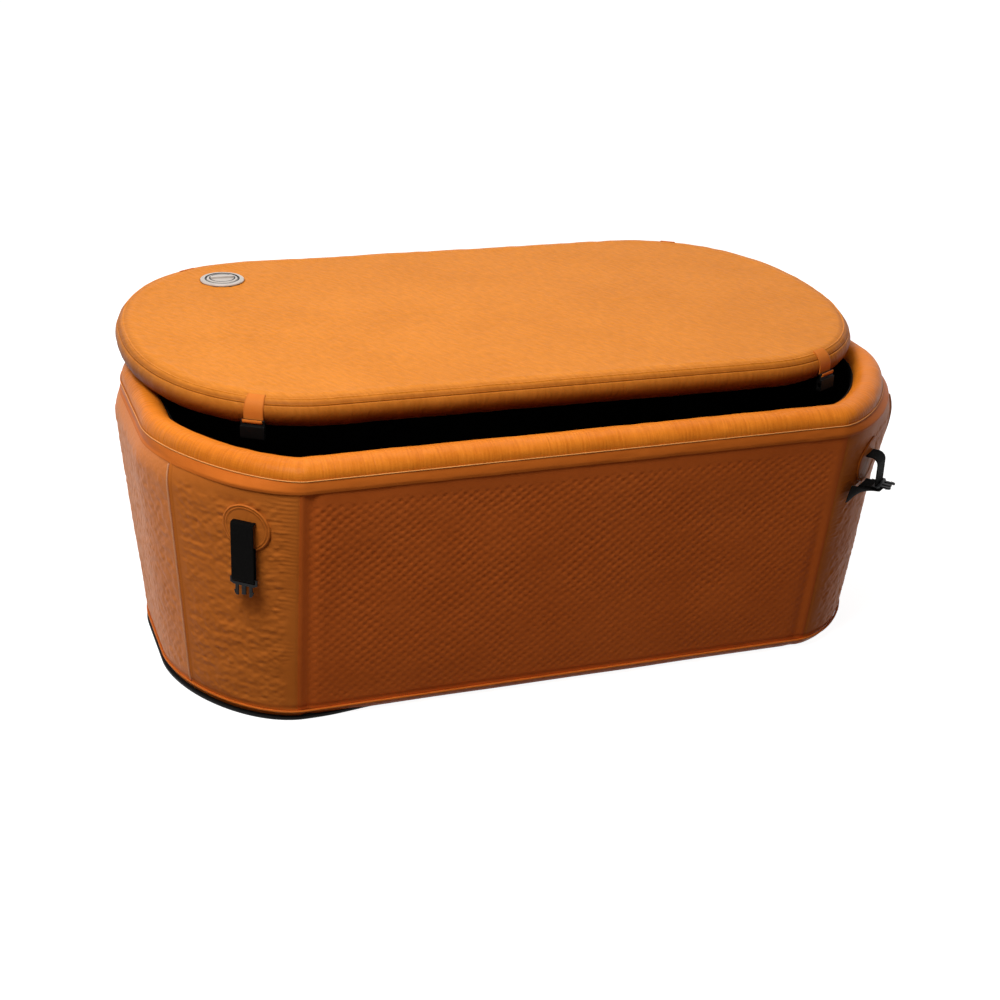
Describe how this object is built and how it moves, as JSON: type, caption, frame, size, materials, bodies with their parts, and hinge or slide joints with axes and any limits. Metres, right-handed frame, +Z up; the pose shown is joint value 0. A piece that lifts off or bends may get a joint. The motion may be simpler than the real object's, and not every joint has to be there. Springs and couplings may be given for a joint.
{
  "type": "cold plunge tub",
  "caption": "Inflatable cold plunge tub with leaning drop-stitch walls, a rolled rim, webbing straps with side-release buckles, valves, a drain and a separate inflated lid.",
  "frame": {"origin": "on the floor under the middle of the tub", "axes": "+X along the tub to its right end, +Y to the back wall, +Z up"},
  "size_m": [1.592, 1.0429, 0.6273],
  "materials": {
    "tan_dropstitch": "tan leather-look coated drop-stitch fabric, embossed",
    "tan_vinyl": "tan leather-look vinyl, satin",
    "tan_tape": "tan welded tape, satin",
    "black_vinyl": "black vinyl, satin",
    "white_core": "woven drop-stitch core",
    "black_webbing": "black woven webbing",
    "black_plastic": "black moulded plastic, satin",
    "grey_plastic": "warm grey moulded plastic, satin",
    "black_rubber": "black rubber",
    "spring_steel": "bright spring wire"
  },
  "bodies": {
    "tub": {"wall_back": "tan_dropstitch", "wall_front": "tan_dropstitch", "wall_left_end": "tan_dropstitch", "wall_right_end": "tan_dropstitch", "wall_corner_back_right": "tan_dropstitch", "wall_corner_back_left": "tan_dropstitch", "wall_corner_front_left": "tan_dropstitch", "wall_corner_front_right": "tan_dropstitch", "rim_roll": "tan_dropstitch", "rim_seam_tape": "tan_tape", "foot_piping": "tan_tape", "base_skin": "black_vinyl", "floor_pad": "white_core", "inner_liner": "black_vinyl", "wall_valve_body": "grey_plastic", "wall_valve_lock_nut": "grey_plastic", "wall_valve_spring": "spring_steel", "drain_body": "black_plastic", "drain_gasket": "black_rubber", "drain_lock_nut": "black_plastic", "strap_patch_back_right": "tan_vinyl", "strap_anchor_back_right": "black_webbing", "strap_patch_back_left": "tan_vinyl", "strap_anchor_back_left": "black_webbing", "strap_patch_front_left": "tan_vinyl", "strap_anchor_front_left": "black_webbing", "strap_patch_front_right": "tan_vinyl", "strap_anchor_front_right": "black_webbing"},
    "lid": {"lid_core": "white_core", "lid_top_skin": "tan_vinyl", "lid_bottom_skin": "tan_vinyl", "lid_valve_body": "grey_plastic", "lid_valve_lock_nut": "grey_plastic", "lid_valve_spring": "spring_steel", "lid_tab_back_right": "tan_vinyl", "lid_tab_back_left": "tan_vinyl", "lid_tab_front_left": "tan_vinyl", "lid_tab_front_right": "tan_vinyl"},
    "strap_back_right": {"strap_back_right": "black_webbing"},
    "buckle_back_right": {"buckle_back_right": "black_plastic"},
    "socket_back_right": {"buckle_socket_back_right": "black_plastic"},
    "strap_back_left": {"strap_back_left": "black_webbing"},
    "buckle_back_left": {"buckle_back_left": "black_plastic"},
    "socket_back_left": {"buckle_socket_back_left": "black_plastic"},
    "strap_front_left": {"strap_front_left": "black_webbing"},
    "buckle_front_left": {"buckle_front_left": "black_plastic"},
    "socket_front_left": {"buckle_socket_front_left": "black_plastic"},
    "strap_front_right": {"strap_front_right": "black_webbing"},
    "buckle_front_right": {"buckle_front_right": "black_plastic"},
    "socket_front_right": {"buckle_socket_front_right": "black_plastic"},
    "lid_valve_cap": {"lid_valve_cap": "grey_plastic"},
    "lid_valve_pin": {"lid_valve_pin": "grey_plastic"},
    "wall_valve_cap": {"wall_valve_cap": "grey_plastic"},
    "wall_valve_pin": {"wall_valve_pin": "grey_plastic"},
    "drain_plug": {"drain_plug": "black_plastic"}
  },
  "joints": [
    {"name": "lid_lift", "type": "slide", "parent": "tub", "child": "lid", "axis": [0, 0, 1], "range_m": [0, 0.5]},
    {"name": "strap_back_right_swing", "type": "hinge", "parent": "tub", "child": "strap_back_right", "pos_m": [0.64115, 0.39327, 0.436], "axis": [0.7575, -0.6529, 0], "range_deg": [-4, 150]},
    {"name": "buckle_back_right_swing", "type": "hinge", "parent": "strap_back_right", "child": "buckle_back_right", "pos_m": [0.63836, 0.39003, 0.324], "axis": [0.7575, -0.6529, 0], "range_deg": [-15, 45]},
    {"name": "strap_back_left_swing", "type": "hinge", "parent": "tub", "child": "strap_back_left", "pos_m": [-0.64115, 0.39327, 0.436], "axis": [0.7575, 0.6529, 0], "range_deg": [-4, 150]},
    {"name": "buckle_back_left_swing", "type": "hinge", "parent": "strap_back_left", "child": "buckle_back_left", "pos_m": [-0.63836, 0.39003, 0.324], "axis": [0.7575, 0.6529, 0], "range_deg": [-15, 45]},
    {"name": "strap_front_left_swing", "type": "hinge", "parent": "tub", "child": "strap_front_left", "pos_m": [-0.64115, -0.39327, 0.436], "axis": [-0.7575, 0.6529, 0], "range_deg": [-4, 150]},
    {"name": "buckle_front_left_swing", "type": "hinge", "parent": "strap_front_left", "child": "buckle_front_left", "pos_m": [-0.63836, -0.39003, 0.324], "axis": [-0.7575, 0.6529, 0], "range_deg": [-15, 45]},
    {"name": "strap_front_right_swing", "type": "hinge", "parent": "tub", "child": "strap_front_right", "pos_m": [0.64115, -0.39327, 0.436], "axis": [-0.7575, -0.6529, 0], "range_deg": [0, 80]},
    {"name": "buckle_front_right_swing", "type": "hinge", "parent": "strap_front_right", "child": "buckle_front_right", "pos_m": [0.64815, -0.40139, 0.376], "axis": [-0.7575, -0.6529, 0], "range_deg": [0, 20]},
    {"name": "socket_back_right_swing", "type": "hinge", "parent": "lid", "child": "socket_back_right", "pos_m": [0.59238, 0.53626, 0.5743], "axis": [0.8597, -0.5108, 0], "range_deg": [-10, 80]},
    {"name": "socket_back_left_swing", "type": "hinge", "parent": "lid", "child": "socket_back_left", "pos_m": [-0.57038, 0.56185, 0.5743], "axis": [0.8813, 0.4725, 0], "range_deg": [-10, 80]},
    {"name": "socket_front_left_swing", "type": "hinge", "parent": "lid", "child": "socket_front_left", "pos_m": [-0.58838, -0.25627, 0.5743], "axis": [-0.8597, 0.5108, 0], "range_deg": [-10, 80]},
    {"name": "socket_front_right_swing", "type": "hinge", "parent": "lid", "child": "socket_front_right", "pos_m": [0.57438, -0.28185, 0.5743], "axis": [-0.8813, -0.4725, 0], "range_deg": [-10, 80]},
    {"name": "lid_valve_cap_turn", "type": "hinge", "parent": "lid", "child": "lid_valve_cap", "pos_m": [-0.50039, 0.44613, 0.6163], "axis": [0, 0, 1], "range_deg": [0, 90]},
    {"name": "lid_valve_press", "type": "slide", "parent": "lid", "child": "lid_valve_pin", "axis": [0, 0, -1], "range_m": [0, 0.005], "stiffness_N_per_m": 800, "springref_m": -0.003, "deforming": ["lid_valve_spring"]},
    {"name": "wall_valve_cap_turn", "type": "hinge", "parent": "tub", "child": "wall_valve_cap", "pos_m": [0.42, 0.42849, 0.4], "axis": [0, 0.9902, -0.1398], "range_deg": [0, 90]},
    {"name": "wall_valve_press", "type": "slide", "parent": "tub", "child": "wall_valve_pin", "axis": [0, -0.9902, 0.1398], "range_m": [0, 0.005], "stiffness_N_per_m": 800, "springref_m": -0.003, "deforming": ["wall_valve_spring"]},
    {"name": "drain_plug_turn", "type": "hinge", "parent": "tub", "child": "drain_plug", "pos_m": [-0.42, 0.38443, 0.088], "axis": [0, 0.9902, -0.1398], "range_deg": [0, 270]}
  ]
}
